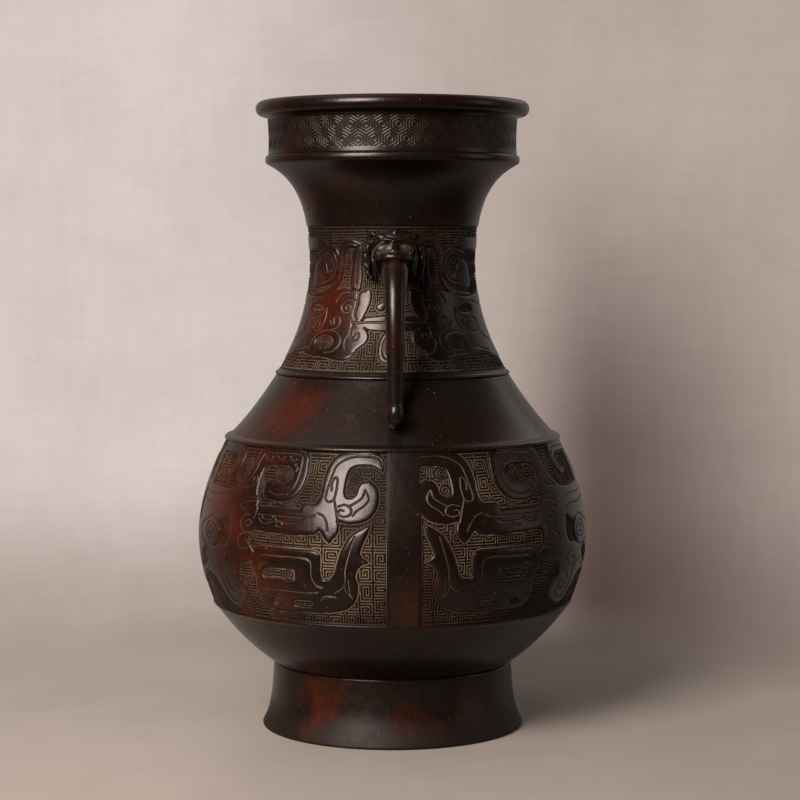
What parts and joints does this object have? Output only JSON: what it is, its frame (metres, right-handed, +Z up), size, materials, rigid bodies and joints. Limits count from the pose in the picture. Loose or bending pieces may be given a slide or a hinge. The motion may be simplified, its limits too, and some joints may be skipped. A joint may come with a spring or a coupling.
{
  "type": "hu wine jar",
  "caption": "Cast bronze hu jar: round belly on a flared foot, waisted neck, collared trumpet mouth and two beast-mask handles with curled trunks.",
  "frame": {"origin": "centre of the circle that the foot stands on", "axes": "+Z up along the jar's axis, the front handle on -Y and the rear handle on +Y"},
  "size_m": [0.206, 0.206, 0.3301],
  "materials": {
    "bronze_brown": "cast bronze with a dark brown patina, worn smooth and faintly shiny on the raised ornament, with pale dust in the grooves",
    "bronze_red": "cast bronze with a reddish brown patina, handled to a soft sheen on the edges",
    "bronze_dark": "cast bronze with a blackish brown patina, polished by handling",
    "solder": null
  },
  "bodies": {
    "root": {"foot_ring": "bronze_red", "base_plate": "bronze_dark", "belly": "bronze_brown", "neck": "bronze_brown", "mouth_collar": "bronze_red", "foot_solder": "solder", "plate_solder": "solder", "neck_solder": "solder", "collar_solder": "solder", "front_mask": "bronze_dark", "front_trunk": "bronze_dark", "front_trunk_rivet": "bronze_dark", "front_mask_rivet_lower": "bronze_dark", "front_mask_rivet_upper": "bronze_dark", "rear_mask": "bronze_dark", "rear_trunk": "bronze_dark", "rear_trunk_rivet": "bronze_dark", "rear_mask_rivet_lower": "bronze_dark", "rear_mask_rivet_upper": "bronze_dark"}
  },
  "joints": []
}
